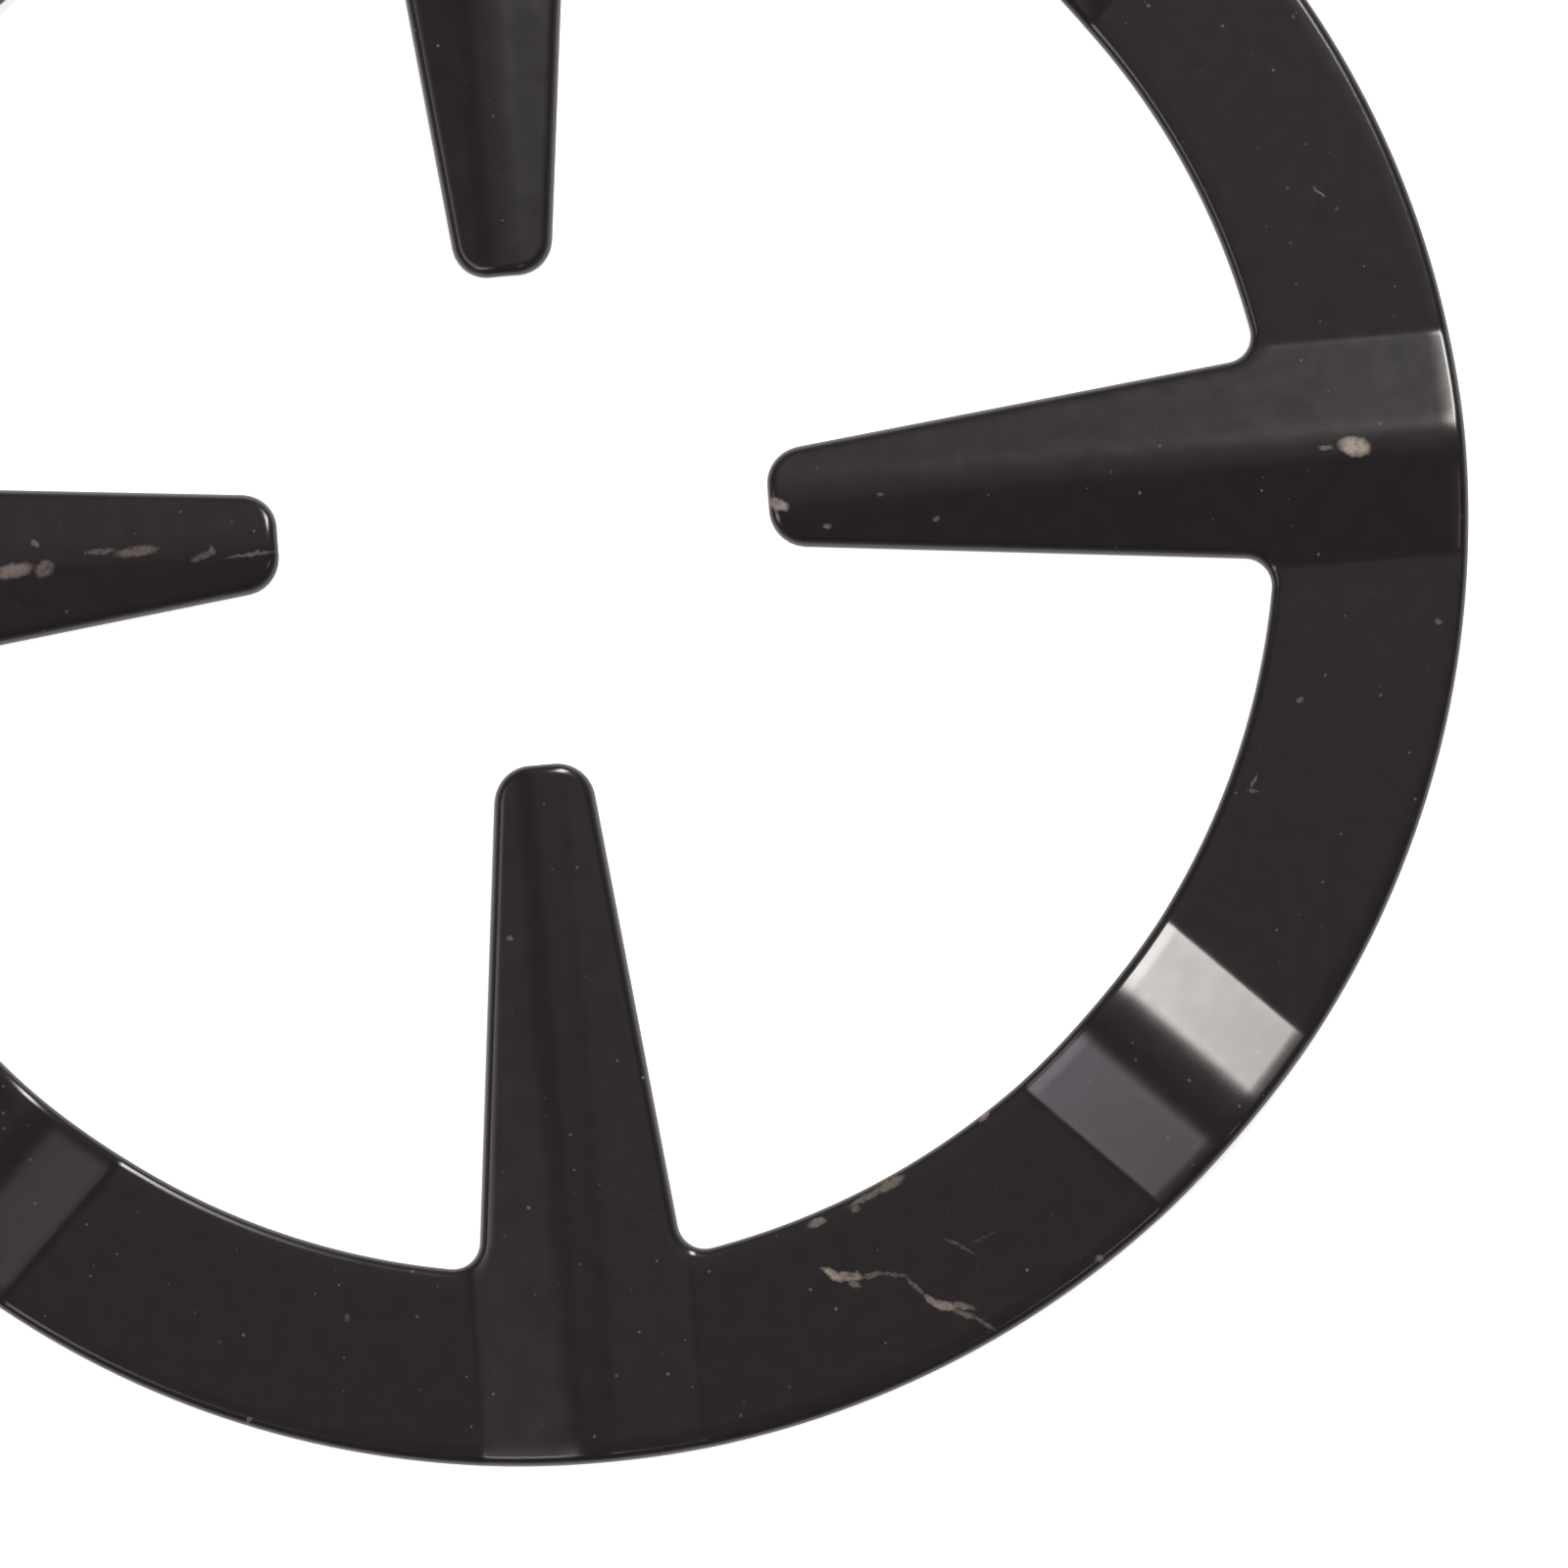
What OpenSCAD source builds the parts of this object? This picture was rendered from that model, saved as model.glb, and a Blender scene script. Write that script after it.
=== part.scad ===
// Stove reducer ring: one pressed and enamelled steel sheet, all sizes in millimetres.
// It lies flat: +Z is up, the origin is at the centre of the ring, on the plane of its underside.

/* [Ring] */
// Outside diameter of the ring
outer_d = 140; // [128:1:180]
// Diameter of the round edge inside the ring
inner_d = 111.4; // [100:0.2:118]
// Thickness of the sheet with its enamel
sheet_t = 1.5; // [1:0.1:2]

/* [Fingers] */
// Number of fingers, with as many cross ridges between them
finger_count = 4; // [3:1:5]
// Diameter of the circle that the finger tips reach in to
tip_circle_d = 36.6; // [26:0.2:60]
// Width of a finger at its tip, before its corners are rounded
finger_tip_w = 7; // [6.4:0.1:9]
// Width of a finger where it meets the ring
finger_root_w = 15.3; // [11:0.1:16.5]
// Radius of the two corners of a finger tip
tip_corner_r = 2.8; // [0.8:0.1:2.8]
// Radius of the fillet between a finger and the ring
root_fillet_r = 2; // [0.8:0.1:5]

/* [Pressed ridges] */
// Height of the ridge that runs along a finger and on across the ring
finger_rise = 1.6; // [1:0.1:2.2]
// Height of the cross ridge half-way between two fingers
cross_rise = 1.8; // [1:0.1:2.2]
// Distance between the two bend lines at the foot of a ridge
ridge_base_w = 16.4; // [14:0.2:19]
// Outside radius of the soft crest of a finger ridge
finger_crest_r = 9.4; // [6:0.2:12]
// Outside radius of the soft crest of a cross ridge
cross_crest_r = 12; // [8:0.2:14]
// Inside radius of the bends at the foot of a ridge
foot_bend_r = 3; // [1.5:0.1:5]

/* [Hidden] */
$fn = 180;

outer_r = outer_d / 2;
inner_r = inner_d / 2;
tip_r = tip_circle_d / 2;
step_angle = 360 / finger_count;
over = 1; // how far a cutting shape runs past what it cuts
crest_steps = 14; // straight steps in the round of a crest
bend_steps = 5; // and in a bend at its foot
lap = 0.6; // width of the flat stretch at each side of a ridge, half of it lying in the flat sheet

// Taper of a finger's side, as a slope and as an angle
side_slope = (finger_root_w - finger_tip_w) / 2 / (inner_r - tip_r);
side_angle = atan(side_slope);

// Height of a finger's side above the finger's axis at distance x from the ring's centre
function side_y(x) = finger_tip_w / 2 + side_slope * (x - tip_r);

// Centre of the round corner at a finger's tip, which touches the tip and the side
tip_corner = [tip_r + tip_corner_r, side_y(tip_r + tip_corner_r) - tip_corner_r / cos(side_angle)];

// Centre of the fillet at a finger's root: one radius off the side, and one radius inside the ring
fillet_lift = side_y(0) + root_fillet_r / cos(side_angle);
fillet_reach = inner_r - root_fillet_r;
fillet_x = (sqrt(pow(fillet_reach, 2) * (1 + pow(side_slope, 2)) - pow(fillet_lift, 2))
    - side_slope * fillet_lift) / (1 + pow(side_slope, 2));
root_fillet = [fillet_x, fillet_lift + side_slope * fillet_x];

// Slope of a ridge's flanks, for which its soft crest comes out at the wanted height
function flank_angle(rise, crest_r) = asin(crest_r / norm([ridge_base_w / 2, crest_r - rise]))
    - atan2(crest_r - rise, ridge_base_w / 2);

// Distance from a ridge's axis to where its foot bend begins and the sheet is flat again
function foot_x(angle) = ridge_base_w / 2 + foot_bend_r * tan(angle / 2);

// Points on an arc round a centre, turned clockwise from straight up by two angles
function arc(centre, radius, from, to, steps) =
    [for (i = [0 : steps]) let (turn = from + (to - from) * i / steps) centre + radius * [sin(turn), cos(turn)]];

// A closed outline from its points on the upper side of the X axis
function with_lower(points) = concat(points, [for (k = [len(points) - 1 : -1 : 0]) [points[k][0], -points[k][1]]]);

// One surface of a ridge seen on edge, at a depth below its top surface, from its left foot to its
// right one: a round bend, a straight flank, the soft crest, and the same again the other way round
function ridge_line(rise, crest_r, depth) = let (
    angle = flank_angle(rise, crest_r),
    foot_y = sheet_t + foot_bend_r,
    crest = [0, sheet_t + rise - crest_r]
) concat(
    [[-foot_x(angle) - lap, sheet_t - depth]],
    arc([-foot_x(angle), foot_y], foot_bend_r + depth, 180, 180 - angle, bend_steps),
    arc(crest, crest_r - depth, -angle, angle, crest_steps),
    arc([foot_x(angle), foot_y], foot_bend_r + depth, 180 + angle, 180, bend_steps),
    [[foot_x(angle) + lap, sheet_t - depth]]
);

// A pressed ridge seen on edge, one sheet thick all along,
// with a short flat stretch at each end by which it joins the flat sheet
module ridge_section(rise, crest_r) {
    underside = ridge_line(rise, crest_r, sheet_t);
    top = ridge_line(rise, crest_r, 0);
    polygon(concat(underside, [for (k = [len(top) - 1 : -1 : 0]) top[k]]));
}

// A ridge's section drawn out along +X, from distance start to beyond the rim
module ridge_bar(start, rise, crest_r) {
    translate([start, 0, 0]) rotate([90, 0, 90])
        linear_extrude(outer_r + over - start) ridge_section(rise, crest_r);
}

// The strip of the flat sheet along +X that a ridge takes the place of
module ridge_strip(rise, crest_r) {
    half_w = foot_x(flank_angle(rise, crest_r)) + lap / 2;
    translate([0, -half_w]) square([outer_r + 2 * over, 2 * half_w]);
}

// The sheet with all its ridges pressed in, before it is cut to its outline
module pressed_sheet() {
    linear_extrude(sheet_t) difference() {
        circle(outer_r + over);
        for (k = [0 : finger_count - 1]) {
            rotate(k * step_angle) ridge_strip(finger_rise, finger_crest_r);
            rotate((k + 0.5) * step_angle) ridge_strip(cross_rise, cross_crest_r);
        }
    }
    for (k = [0 : finger_count - 1]) {
        rotate(k * step_angle) ridge_bar(tip_r - over, finger_rise, finger_crest_r);
        rotate((k + 0.5) * step_angle) ridge_bar(inner_r - over, cross_rise, cross_crest_r);
    }
}

// Plan of one finger along +X, with its rounded tip and the fillets at its root
module finger_plan() {
    tip_touch = tip_corner + tip_corner_r * [-sin(side_angle), cos(side_angle)];
    side_touch = root_fillet + root_fillet_r * [sin(side_angle), -cos(side_angle)];
    ring_touch = root_fillet * inner_r / fillet_reach;
    in_ring = ring_touch * (inner_r + outer_r) / 2 / inner_r;
    difference() {
        polygon(with_lower([in_ring, ring_touch, root_fillet, side_touch, tip_touch, [tip_r, tip_corner[1]]]));
        for (side = [-1, 1]) translate([root_fillet[0], side * root_fillet[1]]) circle(root_fillet_r);
    }
    for (side = [-1, 1]) translate([tip_corner[0], side * tip_corner[1]]) circle(tip_corner_r);
}

// Outline of the whole piece as it is cut: the ring and its fingers
module outline() {
    difference() {
        circle(outer_r);
        circle(inner_r);
    }
    for (k = [0 : finger_count - 1]) rotate(k * step_angle) finger_plan();
}

// The whole piece: the pressed sheet within its outline
module reducer_ring() {
    color("#2a2829") intersection() {
        pressed_sheet();
        translate([0, 0, -over]) linear_extrude(sheet_t + max(finger_rise, cross_rise) + 2 * over) outline();
    }
}

reducer_ring();
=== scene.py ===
import math

import bmesh
import bpy
from mathutils import Matrix, Vector


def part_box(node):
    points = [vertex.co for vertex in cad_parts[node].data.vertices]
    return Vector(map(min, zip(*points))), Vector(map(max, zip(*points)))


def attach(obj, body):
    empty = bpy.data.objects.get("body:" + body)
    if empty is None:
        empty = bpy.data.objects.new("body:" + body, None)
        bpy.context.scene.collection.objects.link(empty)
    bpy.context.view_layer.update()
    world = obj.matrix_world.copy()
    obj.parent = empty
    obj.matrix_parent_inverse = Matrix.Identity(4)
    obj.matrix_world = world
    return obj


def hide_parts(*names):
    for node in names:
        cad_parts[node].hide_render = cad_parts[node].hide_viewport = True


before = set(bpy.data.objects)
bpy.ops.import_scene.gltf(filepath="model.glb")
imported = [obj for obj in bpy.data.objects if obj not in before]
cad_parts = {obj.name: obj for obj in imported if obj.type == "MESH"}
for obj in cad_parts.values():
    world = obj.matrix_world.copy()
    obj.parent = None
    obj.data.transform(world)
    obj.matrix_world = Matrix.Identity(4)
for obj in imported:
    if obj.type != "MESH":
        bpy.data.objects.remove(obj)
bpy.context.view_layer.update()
mm = 0.001


# Node helpers

def setOrLink(tree, socket, value):
    if isinstance(value, bpy.types.NodeSocket):
        tree.links.new(value, socket)
    else:
        socket.default_value = value


def calc(tree, operation, *terms):
    # one Math node, whose terms are sockets or plain numbers
    node = tree.nodes.new("ShaderNodeMath")
    node.operation = operation
    for socket, term in zip(node.inputs, terms):
        setOrLink(tree, socket, term)
    return node.outputs[0]


def addSockets(tree, direction, sockets):
    for name, kind in sockets.items():
        tree.interface.new_socket(name, in_out=direction, socket_type="NodeSocket" + kind)


def useGroup(tree, group, **values):
    # places a node group and fills its inputs, whose names are written here without their spaces
    node = tree.nodes.new(tree.bl_idname.replace("NodeTree", "NodeGroup"))
    node.node_tree = group
    for socket in node.inputs:
        key = socket.name.replace(" ", "")
        key = key[0].lower() + key[1:]
        if key in values:
            setOrLink(tree, socket, values[key])
    return node


# Reducer ring: one sheet of constant thickness, cut to its outline with round edges, and pressed into ridges

low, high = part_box("reducer_ring")

ring = {
    "outerRadius": high.x / mm,  # sizes in millimetres, as in the part
    "innerRadius": 55.7,
    "sheet": 1.5,
    "fingers": 4,
    "tipReach": 18.3,  # from the ring's centre to a finger's tip
    "tipWidth": 7.0,
    "rootWidth": 15.3,
    "tipCorner": 2.8,
    "rootFillet": 2.0,
    "ridgeBase": 16.4,
    "fingerRise": 1.6,
    "fingerCrest": 9.4,
    "crossRise": 1.8,
    "crossCrest": 12.0,
    "footBend": 3.0,
    "columns": {"finger": 14, "fillet": 6, "foot": 5, "flat": 26, "flank": 8, "crest": 10},
    "rows": {"finger": 46, "ring": 14, "edge": 12},
    "tipCrowding": 1.3,  # how much closer the rows lie at a finger's tip
}

edgeRadius = ring["sheet"] / 2  # the cut edges are rounded all the way by the enamel
halfSector = math.pi / ring["fingers"]
sideSlope = (ring["rootWidth"] - ring["tipWidth"]) / 2 / (ring["innerRadius"] - ring["tipReach"])
sideAngle = math.atan(sideSlope)


def sideHeight(x):
    return ring["tipWidth"] / 2 + sideSlope * (x - ring["tipReach"])


def polar(radius, angle):
    return Vector((math.cos(angle), math.sin(angle))) * radius


def steps(start, end, count):
    return [start + (end - start) * k / count for k in range(count + 1)]


def flankAngle(rise, crest):
    half = ring["ridgeBase"] / 2
    return math.asin(crest / math.hypot(half, crest - rise)) - math.atan2(crest - rise, half)


def footReach(angle):
    return ring["ridgeBase"] / 2 + ring["footBend"] * math.tan(angle / 2)


# Centres of the two round places on a finger's side: the corner of its tip and the fillet at its root
cornerX = ring["tipReach"] + ring["tipCorner"]
cornerCentre = Vector((cornerX, sideHeight(cornerX) - ring["tipCorner"] / math.cos(sideAngle)))
filletLift = sideHeight(0) + ring["rootFillet"] / math.cos(sideAngle)
filletReach = ring["innerRadius"] - ring["rootFillet"]
filletX = (math.sqrt(filletReach ** 2 * (1 + sideSlope ** 2) - filletLift ** 2) - sideSlope * filletLift)
filletX /= 1 + sideSlope ** 2
filletCentre = Vector((filletX, filletLift + sideSlope * filletX))

# The flat of the sheet ends one edge radius inside the outline
cornerInset = ring["tipCorner"] - edgeRadius
filletInset = ring["rootFillet"] + edgeRadius
innerInset = ring["innerRadius"] + edgeRadius
outerInset = ring["outerRadius"] - edgeRadius
sideNormal = Vector((-math.sin(sideAngle), math.cos(sideAngle)))
rootPoint = filletCentre - sideNormal * filletInset


# An edge place is a point on the inset outline with the way out from there

def tipEdge(share):
    # from the finger's axis along its straight tip and on to the middle of its round corner
    straight = cornerCentre.y
    turn = (math.pi / 2 - sideAngle) / 2
    run = share * (straight + cornerInset * turn)
    if run <= straight:
        return Vector((cornerCentre.x - cornerInset, run)), Vector((-1, 0))
    out = polar(1, math.pi - (run - straight) / cornerInset)
    return cornerCentre + out * cornerInset, out


def sideEdge(share):
    # from the middle of the round corner along the finger's side to its root
    turn = (math.pi / 2 - sideAngle) / 2
    start = cornerCentre + sideNormal * cornerInset
    straight = (rootPoint - start).length
    run = share * (cornerInset * turn + straight)
    if run <= cornerInset * turn:
        out = polar(1, math.pi - turn - run / cornerInset)
        return cornerCentre + out * cornerInset, out
    return start.lerp(rootPoint, (run - cornerInset * turn) / straight), sideNormal


def innerEdge():
    # the columns' inner ends beyond the finger: round the fillet, then along the inner circle
    fingerFoot = footReach(flankAngle(ring["fingerRise"], ring["fingerCrest"]))
    footStart = ring["ridgeBase"] - fingerFoot
    ringTouch = filletCentre * (innerInset / filletCentre.length)
    firstAngle = -math.pi / 2 + sideAngle
    footAngle = math.asin((footStart - filletCentre.y) / filletInset)
    angles = steps(firstAngle, footAngle, ring["columns"]["fillet"])[1:]
    heights = steps(footStart, fingerFoot, ring["columns"]["foot"])[1:] + steps(fingerFoot, ringTouch.y, 3)[1:]
    angles += [math.asin((height - filletCentre.y) / filletInset) for height in heights]
    return [(filletCentre + polar(filletInset, angle), -polar(1, angle)) for angle in angles]


def crossDistances():
    # the columns' distances from the cross ridge's axis, from the flat sheet to the crest
    angle = flankAngle(ring["crossRise"], ring["crossCrest"])
    reach = footReach(angle)
    crest = ring["crossCrest"] * math.sin(angle)
    count = ring["columns"]
    return (steps(reach, ring["ridgeBase"] - reach, count["foot"])
            + steps(ring["ridgeBase"] - reach, crest, count["flank"])[1:]
            + steps(crest, 0, count["crest"])[1:])


def ringColumns():
    # (inner edge place, outer edge place) of each column of half a sector, beyond the finger's width
    columns = []
    for point, out in innerEdge():
        rim = Vector((math.sqrt(outerInset ** 2 - point.y ** 2), point.y))
        columns.append(((point, out), (rim, rim.normalized())))
    flatStart = [math.atan2(*reversed(columns[-1][end][0])) for end in (0, 1)]
    distances = crossDistances()
    flatEnd = [halfSector - math.asin(distances[0] / radius) for radius in (innerInset, outerInset)]
    inner = steps(flatStart[0], flatEnd[0], ring["columns"]["flat"])[1:]
    outer = steps(flatStart[1], flatEnd[1], ring["columns"]["flat"])[1:]
    inner += [halfSector - math.asin(distance / innerInset) for distance in distances[1:]]
    outer += [halfSector - math.asin(distance / outerInset) for distance in distances[1:]]
    for a, b in zip(inner, outer):
        columns.append(((polar(innerInset, a), -polar(1, a)), (polar(outerInset, b), polar(1, b))))
    return columns


def fingerGrid():
    # rows of points from a finger's tip to its root, each from the axis to the side
    across = steps(0, 1, ring["columns"]["finger"])
    count = ring["rows"]["finger"]
    along = [(k / count) ** ring["tipCrowding"] for k in range(count + 1)]
    tipAxis, tipCorner = tipEdge(0)[0], tipEdge(1)[0]
    rootAxis = Vector((rootPoint.x, 0))
    grid = []
    for t in along:
        axis, side = tipAxis.lerp(rootAxis, t), sideEdge(t)[0]
        row = []
        for s in across:
            tip, root = tipEdge(s)[0], rootAxis.lerp(rootPoint, s)
            corners = tipAxis.lerp(tipCorner, s).lerp(rootAxis.lerp(rootPoint, s), t)
            row.append(tip.lerp(root, t) + axis.lerp(side, s) - corners)
        grid.append(row)
    return grid, [sideEdge(t) for t in along], [tipEdge(s) for s in across]


def addGrid(shape, rows, facing):
    # faces between rows of points of the flat blank
    made = [[shape.verts.new(Vector(point) * mm) for point in row] for row in rows]
    for near, far in zip(made, made[1:]):
        for k in range(len(near) - 1):
            corners = [near[k], far[k], far[k + 1], near[k + 1]]
            shape.faces.new(corners if facing > 0 else reversed(corners))


def addEdge(shape, places, facing):
    # the round edge along a row of edge places, from the top of the sheet round to its underside
    count = ring["rows"]["edge"]
    rows = []
    for k in range(count + 1):
        turn = math.pi * k / count
        height = edgeRadius * (1 + math.cos(turn))
        rows.append([(*(point + out * edgeRadius * math.sin(turn)), height) for point, out in places])
    addGrid(shape, rows, facing)


def sectorBlank():
    # half of one finger's sector as it is cut from flat sheet: both faces and the round edges between them
    shape = bmesh.new()
    fingerRows, sidePlaces, tipPlaces = fingerGrid()
    columns = ringColumns()
    ringRows = []
    for share in steps(0, 1, ring["rows"]["ring"]):
        row = []
        for point in fingerRows[-1]:
            row.append(point.lerp(Vector((math.sqrt(outerInset ** 2 - point.y ** 2), point.y)), share))
        row += [inner[0].lerp(outer[0], share) for inner, outer in columns]
        ringRows.append(row)
    for height, facing in ((ring["sheet"], 1), (0, -1)):
        for rows in (fingerRows, ringRows):
            addGrid(shape, [[(*point, height) for point in row] for row in rows], facing)
    addEdge(shape, tipPlaces + sidePlaces[1:] + [inner for inner, outer in columns], -1)
    addEdge(shape, [(point, point.normalized()) for point in ringRows[-1]], 1)
    bmesh.ops.remove_doubles(shape, verts=shape.verts, dist=0.002 * mm)
    mesh = bpy.data.meshes.new("sector_blank")
    shape.to_mesh(mesh)
    shape.free()
    return mesh


def ridgeHeightGroup():
    # how high a pressed ridge lifts the sheet at a distance from the ridge's axis, a depth below its top face
    tree = bpy.data.node_groups.new("ridgeHeight", "GeometryNodeTree")
    names = ("Distance", "Depth", "Half Base", "Rise", "Crest Radius", "Foot Bend")
    addSockets(tree, "INPUT", {name: "Float" for name in names})
    addSockets(tree, "OUTPUT", {"Height": "Float"})
    distance, depth, halfBase, rise, crest, foot = tree.nodes.new("NodeGroupInput").outputs[:6]

    def do(operation, *terms):
        return calc(tree, operation, *terms)

    drop = do("SUBTRACT", crest, rise)
    span = do("SQRT", do("ADD", do("MULTIPLY", halfBase, halfBase), do("MULTIPLY", drop, drop)))
    angle = do("SUBTRACT", do("ARCSINE", do("DIVIDE", crest, span)), do("ARCTAN2", drop, halfBase))
    sine, cosine = do("SINE", angle), do("COSINE", angle)
    reach = do("ADD", halfBase, do("MULTIPLY", foot, do("TANGENT", do("MULTIPLY", angle, 0.5))))
    footRadius, crestRadius = do("ADD", foot, depth), do("SUBTRACT", crest, depth)
    footEdge, crestEdge = do("MULTIPLY", footRadius, sine), do("MULTIPLY", crestRadius, sine)
    away = do("ABSOLUTE", distance)
    fromFoot = do("MAXIMUM", do("SUBTRACT", reach, away), 0.0)

    def roundTo(radius, offset):
        return do("SQRT", do("SUBTRACT", do("MULTIPLY", radius, radius), do("MULTIPLY", offset, offset)))

    bend = do("SUBTRACT", footRadius, roundTo(footRadius, do("MINIMUM", fromFoot, footEdge)))
    straight = do("MINIMUM", do("MAXIMUM", fromFoot, footEdge), do("SUBTRACT", reach, crestEdge))
    flank = do("MULTIPLY", do("SUBTRACT", straight, footEdge), do("DIVIDE", sine, cosine))
    crown = do("SUBTRACT", roundTo(crestRadius, do("MINIMUM", away, crestEdge)), do("MULTIPLY", crestRadius, cosine))
    result = tree.nodes.new("NodeGroupOutput")
    tree.links.new(do("ADD", bend, do("ADD", flank, crown)), result.inputs["Height"])
    return tree


def pressedRingTree():
    # mirrors the half sector's blank, presses the ridges into it, and repeats it round the ring
    tree = bpy.data.node_groups.new("pressedRing", "GeometryNodeTree")
    addSockets(tree, "INPUT", {"Geometry": "Geometry", "Fingers": "Int", "Sheet": "Float", "Half Base": "Float",
                               "Foot Bend": "Float", "Finger Rise": "Float", "Finger Crest": "Float",
                               "Cross Rise": "Float", "Cross Crest": "Float", "Finish": "Material"})
    addSockets(tree, "OUTPUT", {"Geometry": "Geometry"})
    given = tree.nodes.new("NodeGroupInput").outputs
    ridgeHeight = ridgeHeightGroup()

    def node(kind, **inputs):
        made = tree.nodes.new("GeometryNode" + kind)
        for name, value in inputs.items():
            setOrLink(tree, made.inputs[name], value)
        return made

    def do(operation, *terms):
        return calc(tree, operation, *terms)

    mirrored = node("Transform", Geometry=given["Geometry"], Scale=(1, -1, 1))
    mirrored = node("FlipFaces", Mesh=mirrored.outputs[0])
    sector = node("JoinGeometry")
    tree.links.new(mirrored.outputs[0], sector.inputs[0])
    tree.links.new(given["Geometry"], sector.inputs[0])

    place = tree.nodes.new("ShaderNodeSeparateXYZ")
    tree.links.new(node("InputPosition").outputs[0], place.inputs[0])
    x, y, z = place.outputs
    halfTurn = do("DIVIDE", math.pi, given["Fingers"])
    fromCross = do("SUBTRACT", do("MULTIPLY", x, do("SINE", halfTurn)),
                   do("MULTIPLY", do("ABSOLUTE", y), do("COSINE", halfTurn)))

    def faceHeight(depth):
        shared = {"depth": depth, "halfBase": given["Half Base"], "footBend": given["Foot Bend"]}
        fingerRidge = useGroup(tree, ridgeHeight, distance=y, rise=given["Finger Rise"],
                               crestRadius=given["Finger Crest"], **shared)
        crossRidge = useGroup(tree, ridgeHeight, distance=fromCross, rise=given["Cross Rise"],
                              crestRadius=given["Cross Crest"], **shared)
        return do("ADD", fingerRidge.outputs[0], crossRidge.outputs[0])

    top = do("ADD", given["Sheet"], faceHeight(0.0))
    share = do("DIVIDE", z, given["Sheet"])
    underside = faceHeight(given["Sheet"])
    height = do("ADD", underside, do("MULTIPLY", do("SUBTRACT", top, underside), share))
    pressed = tree.nodes.new("ShaderNodeCombineXYZ")
    for socket, value in zip(pressed.inputs, (x, y, height)):
        tree.links.new(value, socket)
    sheet = node("SetPosition", Geometry=sector.outputs[0], Position=pressed.outputs[0])

    turn = tree.nodes.new("ShaderNodeCombineXYZ")
    step = do("MULTIPLY", halfTurn, 2.0)
    tree.links.new(do("MULTIPLY", node("InputIndex").outputs[0], step), turn.inputs[2])
    centre = node("Points", Count=given["Fingers"])
    sectors = node("InstanceOnPoints", Points=centre.outputs[0], Instance=sheet.outputs[0], Rotation=turn.outputs[0])
    real = node("RealizeInstances", Geometry=sectors.outputs[0])
    whole = node("MergeByDistance", Geometry=real.outputs[0], Distance=0.002 * mm)
    smooth = node("SetShadeSmooth", Geometry=whole.outputs[0])
    finished = node("SetMaterial", Geometry=smooth.outputs[0], Material=given["Finish"])
    result = tree.nodes.new("NodeGroupOutput")
    tree.links.new(finished.outputs[0], result.inputs[0])
    return tree


def runTree(name, mesh, tree, values):
    # evaluates a geometry tree on a mesh, and keeps the result as a plain mesh in an object at the origin
    source = bpy.data.objects.new(name + "_source", mesh)
    bpy.context.scene.collection.objects.link(source)
    modifier = source.modifiers.new("shape", "NODES")
    modifier.node_group = tree
    for socket in tree.interface.items_tree:
        if socket.name in values:
            modifier[socket.identifier] = values[socket.name]
    evaluated = source.evaluated_get(bpy.context.evaluated_depsgraph_get())
    plain = bpy.data.meshes.new_from_object(evaluated)
    source.modifiers.remove(modifier)
    bpy.data.objects.remove(source)
    plain.name = name
    piece = bpy.data.objects.new(name, plain)
    bpy.context.scene.collection.objects.link(piece)
    return piece


def makeRing(finish):
    values = {"Fingers": ring["fingers"], "Sheet": ring["sheet"] * mm, "Half Base": ring["ridgeBase"] / 2 * mm,
              "Foot Bend": ring["footBend"] * mm, "Finger Rise": ring["fingerRise"] * mm,
              "Finger Crest": ring["fingerCrest"] * mm, "Cross Rise": ring["crossRise"] * mm,
              "Cross Crest": ring["crossCrest"] * mm, "Finish": finish}
    piece = runTree("enamelled_ring", sectorBlank(), pressedRingTree(), values)
    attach(piece, "root")
    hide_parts("reducer_ring")
    return piece


# Camera, as the photograph was taken

camera = {
    "picture": 1600,  # side of the photograph in pixels
    "pixelsPerMm": 13.7,  # at the ring
    "distance": 600.0,  # from the camera's plane to the ring's centre, in millimetres
    "ringCentre": (536.2, 534.4),  # where the ring's centre shows, in pixels
    "turn": 4.86,  # how far the right finger is turned up, in degrees
    "bottomNearer": 5.3,  # tilts of the ring towards the camera
    "rightNearer": 3.5,
}


def makeCamera():
    data = bpy.data.cameras.new("camera")
    data.sensor_width = 36
    data.lens = camera["pixelsPerMm"] * camera["distance"] / camera["picture"] * data.sensor_width
    half = camera["picture"] / 2
    right = (camera["ringCentre"][0] - half) / camera["pixelsPerMm"]
    down = (camera["ringCentre"][1] - half) / camera["pixelsPerMm"]
    view = (Matrix.Translation(Vector((right, -down, -camera["distance"])) * mm)
            @ Matrix.Rotation(-math.radians(camera["rightNearer"]), 4, "Y")
            @ Matrix.Rotation(-math.radians(camera["bottomNearer"]), 4, "X")
            @ Matrix.Rotation(math.radians(camera["turn"]), 4, "Z"))
    eye = bpy.data.objects.new("camera", data)
    eye.matrix_world = view.inverted()
    bpy.context.scene.collection.objects.link(eye)
    bpy.context.scene.camera = eye


# Black enamel, with the marks that wear and dust have left on it

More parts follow.
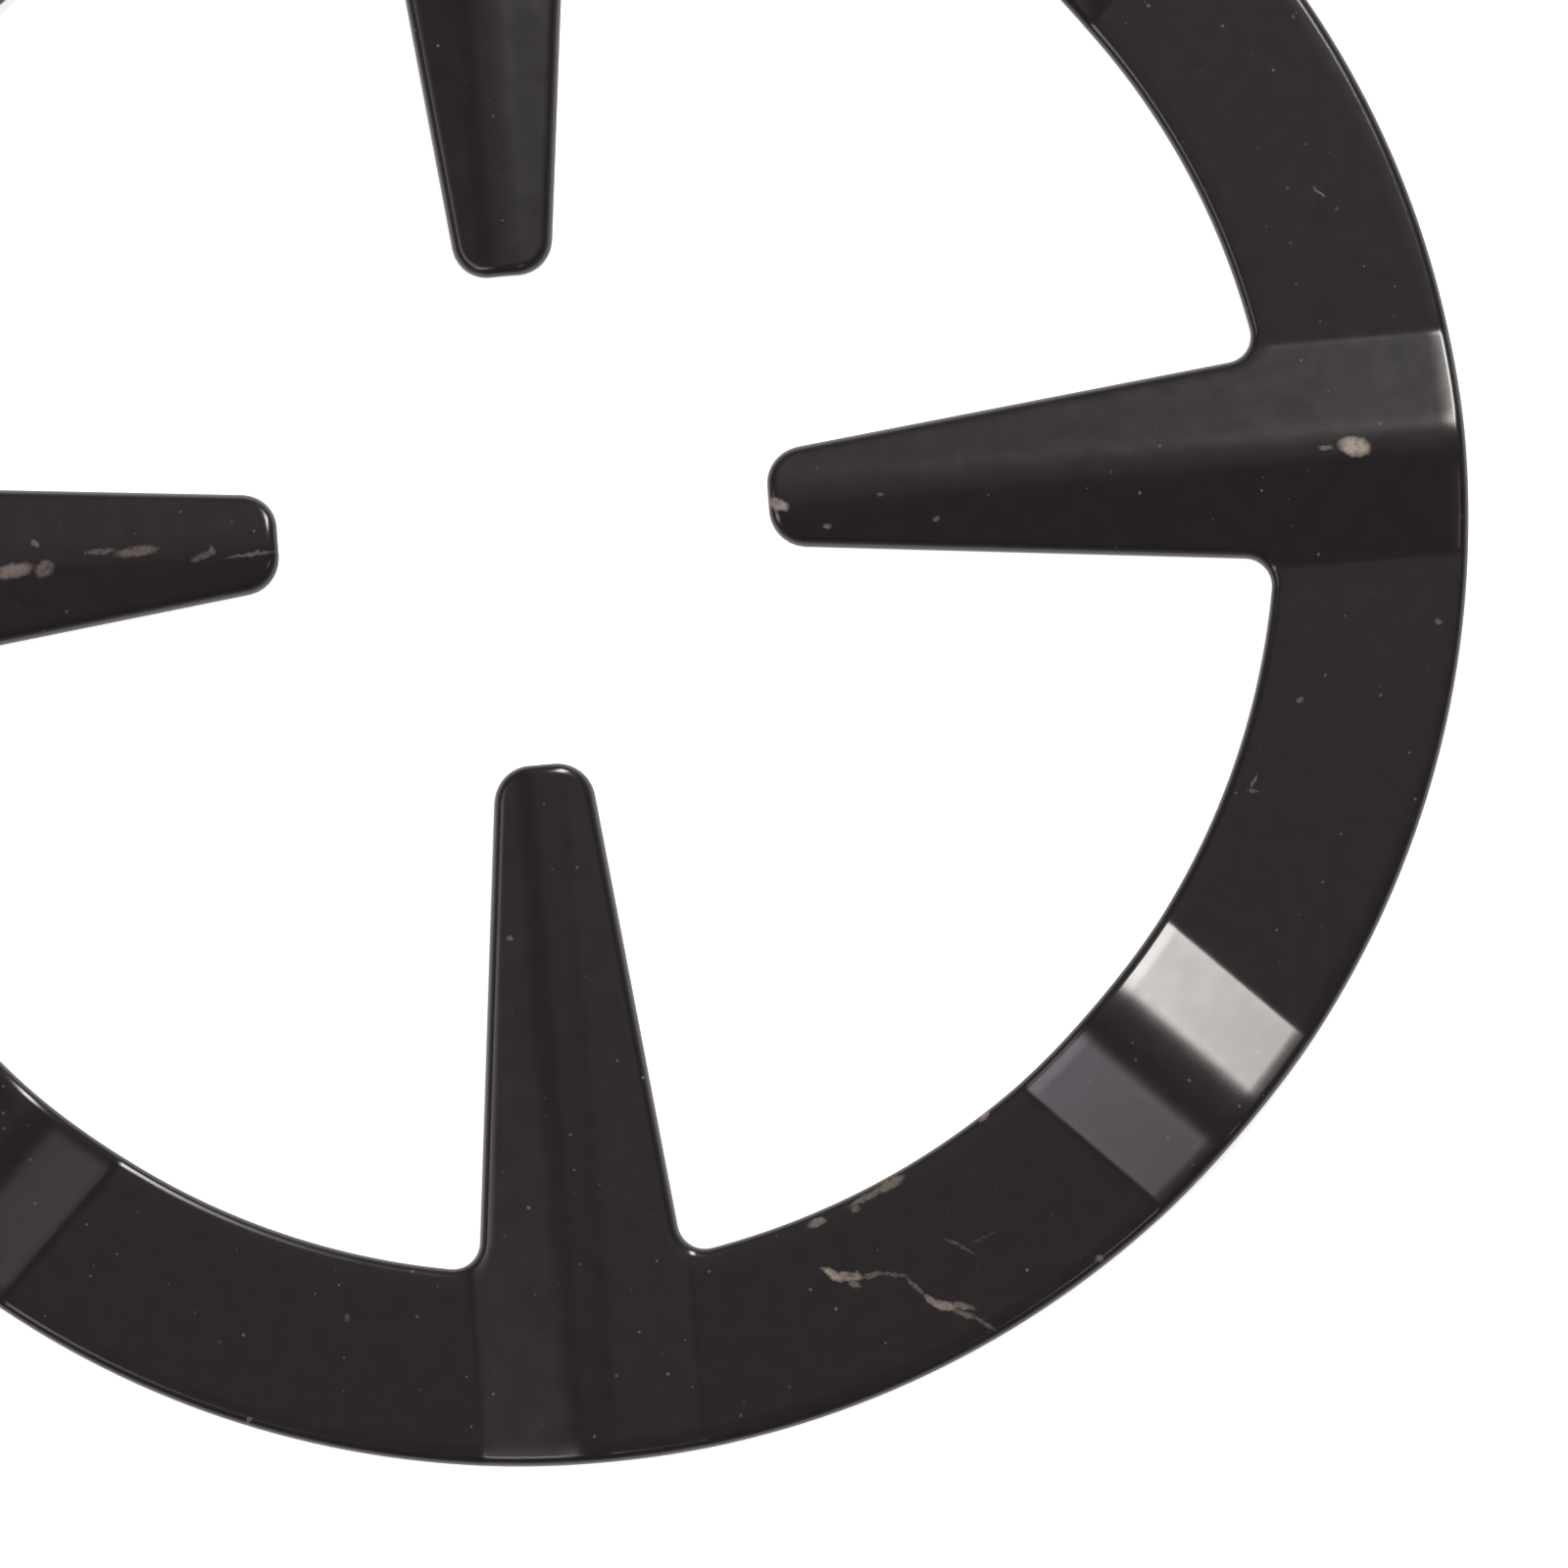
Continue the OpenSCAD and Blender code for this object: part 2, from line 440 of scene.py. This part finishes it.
enamel = {
    "colour": (0.0130, 0.0112, 0.0114),
    "roughness": 0.20,
    "roughnessChange": 0.03,
    "ior": 1.5,
    "peelHeight": 0.0016,  # depth of the enamel's soft waves, in millimetres
    "bare": (0.31, 0.26, 0.22),  # the pale ground coat that shows where the enamel is chipped
    "raggedness": 0.34,  # how far the noise pulls the marks' outlines, in millimetres
    "dust": (0.10, 0.095, 0.10),
    "dustSize": 0.05,
    "dustDensity": 0.55,
    "dustShare": 0.22,  # the share of the pattern's cells that hold a speck
    "mottling": 0.18,  # how far the black grows lighter and darker
    "chalkiness": 0.45,  # roughness that a worn place has on top of the enamel's
    "noiseScales": {"ragged": 2.4, "mottle": 0.6, "waves": 0.9},  # per millimetre
}

# Each mark: place in the photograph in pixels, length and width in pixels, angle, and how pale it is
marks = {
    "chips on the right finger": [(1382, 457, 27, 17, -8, 1.0), (1353, 458, 13, 5, 5, 0.3), (795, 516, 19, 10, -25, 0.8)],
    "wedge scratch": [(849, 1300, 21, 8, -32, 0.75), (866, 1302, 24, 8, -4, 0.5), (871, 1310, 12, 6, -20, 0.3)],
    "curved scratch": [
        (889, 1301, 15, 6, 18, 0.26), (909, 1300, 30, 4, -6, 0.18), (934, 1313, 26, 4, -42, 0.22),
        (950, 1327, 16, 6, -38, 0.5), (963, 1332, 24, 8, -10, 0.65), (982, 1332, 24, 6, -12, 0.35),
        (982, 1340, 22, 5, -25, 0.3), (1003, 1349, 28, 4, -33, 0.22),
    ],
    "faint scratches": [(972, 1267, 15, 3, -20, 0.16), (985, 1274, 18, 3, -28, 0.14), (1004, 1262, 24, 3, 25, 0.08)],
    "chipped inner edge": [
        (833, 1247, 17, 8, 20, 0.4), (873, 1233, 9, 6, 20, 0.25), (887, 1219, 44, 6, 29, 0.3),
        (907, 1208, 30, 9, 30, 0.35), (1004, 1139, 12, 5, 50, 0.5),
    ],
    "worn crest of the left finger": [
        (14, 584, 38, 13, 12, 0.42), (47, 582, 18, 14, 40, 0.3), (37, 556, 9, 6, -40, 0.3), (104, 564, 27, 6, 4, 0.2),
        (141, 564, 38, 9, 8, 0.3), (208, 569, 24, 6, 20, 0.2), (218, 563, 9, 5, -60, 0.3), (258, 567, 46, 4, 8, 0.28),
    ],
    "small marks on the ring": [
        (1346, 194, 15, 3, -35, 0.3), (1468, 633, 7, 5, 0, 0.3), (1327, 713, 7, 5, 10, 0.25), (1279, 797, 14, 3, 60, 0.25),
        (1278, 806, 12, 3, 0, 0.2), (1122, 1284, 8, 6, 30, 0.35), (353, 1344, 5, 7, 0, 0.25), (252, 1449, 7, 5, 20, 0.3),
    ],
    "small marks on the fingers": [
        (845, 538, 7, 5, 0, 0.4), (899, 506, 6, 4, 0, 0.25), (956, 530, 7, 5, 20, 0.3), (521, 958, 6, 5, 0, 0.25),
    ],
}


def onRing(x, y):
    # the place on the sheet's top face that shows at a pixel of the photograph, in millimetres
    eye = bpy.context.scene.camera.matrix_world
    half = camera["picture"] / 2
    focal = camera["pixelsPerMm"] * camera["distance"]
    ray = eye.to_3x3() @ Vector(((x - half) / focal, (half - y) / focal, -1))
    height = (ring["sheet"] + ring["fingerRise"] / 2) * mm
    place = eye.translation + ray * ((height - eye.translation.z) / ray.z)
    return place / mm


def vectorCalc(tree, operation, *terms):
    node = tree.nodes.new("ShaderNodeVectorMath")
    node.operation = operation
    for socket, term in zip(node.inputs, terms):
        setOrLink(tree, socket, term)
    return node


def noise(tree, place, scale, detail):
    node = tree.nodes.new("ShaderNodeTexNoise")
    node.inputs["Scale"].default_value = scale
    node.inputs["Detail"].default_value = detail
    tree.links.new(place, node.inputs["Vector"])
    return node


def wornMarkGroup():
    # the mask of one long or round mark with a soft outline
    tree = bpy.data.node_groups.new("wornMark", "ShaderNodeTree")
    addSockets(tree, "INPUT", {"Place": "Vector", "Centre": "Vector", "Turn": "Float", "Inverse Size": "Vector",
                               "Strength": "Float", "Others": "Float"})
    addSockets(tree, "OUTPUT", {"Mask": "Float"})
    given = tree.nodes.new("NodeGroupInput").outputs
    fromCentre = vectorCalc(tree, "SUBTRACT", given["Place"], given["Centre"]).outputs[0]
    turned = tree.nodes.new("ShaderNodeVectorRotate")
    turned.rotation_type = "Z_AXIS"
    tree.links.new(fromCentre, turned.inputs["Vector"])
    tree.links.new(given["Turn"], turned.inputs["Angle"])
    scaled = vectorCalc(tree, "MULTIPLY", turned.outputs[0], given["Inverse Size"]).outputs[0]
    reach = vectorCalc(tree, "LENGTH", scaled).outputs["Value"]
    inside = calc(tree, "MULTIPLY_ADD", reach, -1.6, 2.16)
    inside.node.use_clamp = True
    mask = calc(tree, "MULTIPLY", inside, given["Strength"])
    result = tree.nodes.new("NodeGroupOutput")
    tree.links.new(calc(tree, "MAXIMUM", mask, given["Others"]), result.inputs[0])
    return tree


def dustGroup():
    # a few tiny specks, one at most in each cell of a Voronoi pattern
    tree = bpy.data.node_groups.new("dust", "ShaderNodeTree")
    addSockets(tree, "INPUT", {"Place": "Vector", "Density": "Float", "Size": "Float", "Share": "Float"})
    addSockets(tree, "OUTPUT", {"Mask": "Float"})
    given = tree.nodes.new("NodeGroupInput").outputs
    cells = tree.nodes.new("ShaderNodeTexVoronoi")
    cells.voronoi_dimensions = "2D"
    tree.links.new(given["Place"], cells.inputs["Vector"])
    tree.links.new(given["Density"], cells.inputs["Scale"])
    chance = tree.nodes.new("ShaderNodeSeparateColor")
    tree.links.new(cells.outputs["Color"], chance.inputs[0])
    chosen = calc(tree, "LESS_THAN", chance.outputs[0], given["Share"])
    size = calc(tree, "MULTIPLY", given["Size"], calc(tree, "ADD", chance.outputs[1], 0.5))
    near = calc(tree, "LESS_THAN", cells.outputs["Distance"], size)
    result = tree.nodes.new("NodeGroupOutput")
    tree.links.new(calc(tree, "MULTIPLY", calc(tree, "MULTIPLY", near, chosen), chance.outputs[2]), result.inputs[0])
    return tree


def placeMarks(tree, place, group, strokes, mask):
    # adds marks to a mask, on a place that noise has made ragged
    for x, y, length, width, angle, strength in strokes:
        inverse = (2 * camera["pixelsPerMm"] / length, 2 * camera["pixelsPerMm"] / width, 0)
        turn = math.radians(camera["turn"] - angle)
        node = useGroup(tree, group, place=place, centre=onRing(x, y), turn=turn, inverseSize=inverse,
                        strength=strength, others=mask)
        mask = node.outputs[0]
    return mask


def mixColours(tree, factor, one, other):
    node = tree.nodes.new("ShaderNodeMix")
    node.data_type = "RGBA"
    tree.links.new(factor, node.inputs["Factor"])
    setOrLink(tree, node.inputs[6], one)
    setOrLink(tree, node.inputs[7], other)
    return node.outputs[2]


def blackEnamel():
    scales = enamel["noiseScales"]
    material = bpy.data.materials.new("black_enamel")
    material.use_nodes = True
    tree = material.node_tree
    shader = tree.nodes["Principled BSDF"]
    shader.inputs["IOR"].default_value = enamel["ior"]
    coordinate = tree.nodes.new("ShaderNodeTexCoord").outputs["Object"]
    place = vectorCalc(tree, "MULTIPLY", coordinate, (1 / mm, 1 / mm, 1 / mm)).outputs[0]
    wander = vectorCalc(tree, "SUBTRACT", noise(tree, place, scales["ragged"], 1).outputs["Color"], (0.5, 0.5, 0.5)).outputs[0]
    pull = (enamel["raggedness"],) * 3
    ragged = vectorCalc(tree, "MULTIPLY_ADD", wander, pull, place).outputs[0]
    parts = tree.nodes.new("ShaderNodeSeparateXYZ")
    tree.links.new(wander, parts.inputs[0])
    broken = calc(tree, "MULTIPLY_ADD", parts.outputs["Z"], 1.6, 0.85)
    broken.node.use_clamp = True
    group = wornMarkGroup()
    worn = 0.0
    for strokes in marks.values():
        worn = placeMarks(tree, ragged, group, strokes, worn)
    worn = calc(tree, "MULTIPLY", worn, broken)
    dust = useGroup(tree, dustGroup(), place=place, density=enamel["dustDensity"], size=enamel["dustSize"],
                    share=enamel["dustShare"]).outputs[0]

    mottle = noise(tree, place, scales["mottle"], 2).outputs[0]
    darker = [part * (1 - enamel["mottling"]) for part in enamel["colour"]]
    lighter = [part * (1 + enamel["mottling"]) for part in enamel["colour"]]
    colour = mixColours(tree, mottle, (*darker, 1), (*lighter, 1))
    colour = mixColours(tree, dust, colour, (*enamel["dust"], 1))
    tree.links.new(mixColours(tree, worn, colour, (*enamel["bare"], 1)), shader.inputs["Base Color"])

    change = calc(tree, "MULTIPLY_ADD", mottle, enamel["roughnessChange"] * 2, -enamel["roughnessChange"])
    rough = calc(tree, "ADD", change, enamel["roughness"])
    tree.links.new(calc(tree, "MULTIPLY_ADD", worn, enamel["chalkiness"], rough), shader.inputs["Roughness"])

    bump = tree.nodes.new("ShaderNodeBump")
    bump.inputs["Distance"].default_value = mm
    waves = noise(tree, place, scales["waves"], 0).outputs[0]
    tree.links.new(calc(tree, "MULTIPLY", waves, enamel["peelHeight"]), bump.inputs["Height"])
    tree.links.new(bump.outputs[0], shader.inputs["Normal"])
    return material


# Studio: a white floor, a dim room with a white horizon, and soft boxes

studio = {
    "overhead": (0.118, 0.094, 0.102),  # the room's brightness straight above
    "horizonSharpness": 4.0,  # how late the brightness rises to white at the horizon
    "floorRadius": 3.0,
    "floorColour": 0.8,
    "floorGlow": 0.8,  # what the camera sees on top of the lit floor, so that it shows white
    "lampDistance": 8.0,
    "boxes": {
        # name: (degrees off the vertical, direction in degrees from +X, half its reach upwards and sideways
        # in degrees, brightness, colour)
        "key_box": (39.9, 59.6, 15.6, 6.2, 25.2, (1.0, 0.976, 0.938)),
        "upper_box": (27.8, 103, 26.9, 11.5, 0.22, (1.0, 0.85, 0.95)),
        "lower_left_box": (36.4, 209, 14.6, 5.4, 4.96, (1.0, 0.875, 1.0)),
        "lower_right_box": (27.3, 307, 3.1, 3.2, 5.3, (1.0, 0.87, 0.87)),
        "left_box": (42.2, 182.6, 6.5, 12.4, 2.85, (1.0, 0.88, 0.92)),
        "right_box": (28.0, 7.8, 8.5, 4.0, 0.29, (1.0, 0.97, 1.0)),
    },
}


def softBox(name, tilt, direction, up, across, brightness, colour):
    data = bpy.data.lights.new(name, "AREA")
    data.shape = "RECTANGLE"
    data.size = 2 * studio["lampDistance"] * math.tan(math.radians(up))
    data.size_y = 2 * studio["lampDistance"] * math.tan(math.radians(across))
    data.energy = brightness * math.pi * data.size * data.size_y
    data.color = colour
    lamp = bpy.data.objects.new(name, data)
    turn = Matrix.Rotation(math.radians(direction), 4, "Z") @ Matrix.Rotation(math.radians(tilt), 4, "Y")
    lamp.matrix_world = turn @ Matrix.Translation((0, 0, studio["lampDistance"]))
    lamp.visible_camera = False
    bpy.context.scene.collection.objects.link(lamp)


def floorWhite():
    material = bpy.data.materials.new("floor_white")
    material.use_nodes = True
    tree = material.node_tree
    tree.nodes.clear()
    result = tree.nodes.new("ShaderNodeOutputMaterial")
    both = tree.nodes.new("ShaderNodeAddShader")
    lit = tree.nodes.new("ShaderNodeBsdfDiffuse")
    lit.inputs["Color"].default_value = (*(studio["floorColour"],) * 3, 1)
    glow = tree.nodes.new("ShaderNodeEmission")
    rays = tree.nodes.new("ShaderNodeLightPath").outputs
    seen = calc(tree, "MAXIMUM", rays["Is Camera Ray"], rays["Is Glossy Ray"])
    seen = calc(tree, "MAXIMUM", seen, rays["Is Transmission Ray"])
    tree.links.new(calc(tree, "MULTIPLY", seen, studio["floorGlow"]), glow.inputs["Strength"])
    tree.links.new(lit.outputs[0], both.inputs[0])
    tree.links.new(glow.outputs[0], both.inputs[1])
    tree.links.new(both.outputs[0], result.inputs["Surface"])
    return material


def makeFloor():
    shape = bmesh.new()
    bmesh.ops.create_circle(shape, cap_ends=True, segments=96, radius=studio["floorRadius"])
    bmesh.ops.translate(shape, verts=shape.verts, vec=(0, 0, low.z - 0.05 * mm))
    mesh = bpy.data.meshes.new("floor")
    shape.to_mesh(mesh)
    shape.free()
    floor = bpy.data.objects.new("floor", mesh)
    bpy.context.scene.collection.objects.link(floor)
    mesh.materials.append(floorWhite())


def makeRoom():
    # dim overhead, white at the horizon, and white behind the object
    world = bpy.data.worlds.new("room")
    bpy.context.scene.world = world
    world.use_nodes = True
    tree = world.node_tree
    background = tree.nodes["Background"]
    way = tree.nodes.new("ShaderNodeSeparateXYZ")
    tree.links.new(tree.nodes.new("ShaderNodeTexCoord").outputs["Generated"], way.inputs[0])
    upward = calc(tree, "MAXIMUM", way.outputs["Z"], 0.0)
    horizon = calc(tree, "POWER", calc(tree, "SUBTRACT", 1.0, upward), studio["horizonSharpness"])
    seen = tree.nodes.new("ShaderNodeLightPath").outputs["Is Camera Ray"]
    white = calc(tree, "MAXIMUM", horizon, seen)
    tree.links.new(mixColours(tree, white, (*studio["overhead"], 1), (1, 1, 1, 1)), background.inputs["Color"])


makeCamera()
print("camera ready")
reducerRing = makeRing(blackEnamel())
print("ring ready:", len(reducerRing.data.polygons), "faces")
makeFloor()
makeRoom()
for name, setting in studio["boxes"].items():
    softBox(name, *setting)
bpy.context.scene.view_settings.view_transform = "Standard"
print("studio ready")
